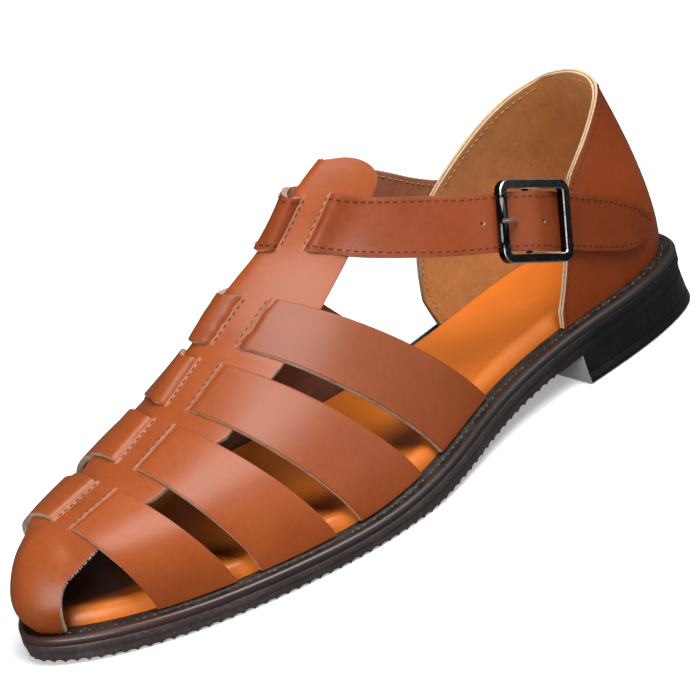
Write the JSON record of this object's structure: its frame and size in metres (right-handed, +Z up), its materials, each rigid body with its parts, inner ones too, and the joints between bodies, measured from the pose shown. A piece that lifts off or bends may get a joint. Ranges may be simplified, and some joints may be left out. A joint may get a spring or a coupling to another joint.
{
  "type": "sandal",
  "caption": "Closed-toe leather sandal for the left foot: woven cross straps along a central spine, buckled instep strap, raised heel quarter and low rubber heel.",
  "frame": {"origin": "on the floor, under the middle of the sandal's bounding box", "axes": "+X from the heel to the toe, +Y towards the lateral (outer) side of this left sandal, +Z up"},
  "size_m": [0.3022, 0.1052, 0.1114],
  "materials": {
    "outsole_rubber": "dark brown moulded rubber, satin side, matte underside",
    "heel_rubber": "black rubber heel with a glossy dressed side",
    "welt_rubber": "black welt with a pale stitch row",
    "footbed_leather": "orange-tan leather with a polished edge",
    "upper_leather": "smooth tan leather, semi-gloss, with stitched strap edges",
    "quarter_leather": "smooth tan leather outside, suede lining inside",
    "frame_metal": "polished gunmetal plate",
    "roller_metal": "polished gunmetal plate",
    "prong_metal": "polished gunmetal plate",
    "tab_leather": "tan leather with a raw edge"
  },
  "bodies": {
    "root": {"outsole": "outsole_rubber", "heel_block": "heel_rubber", "welt": "welt_rubber", "footbed": "footbed_leather", "upper": "upper_leather", "quarter": "quarter_leather", "buckle_frame": "frame_metal", "buckle_roller": "roller_metal", "buckle_prong": "prong_metal", "buckle_tab": "tab_leather"}
  },
  "joints": []
}
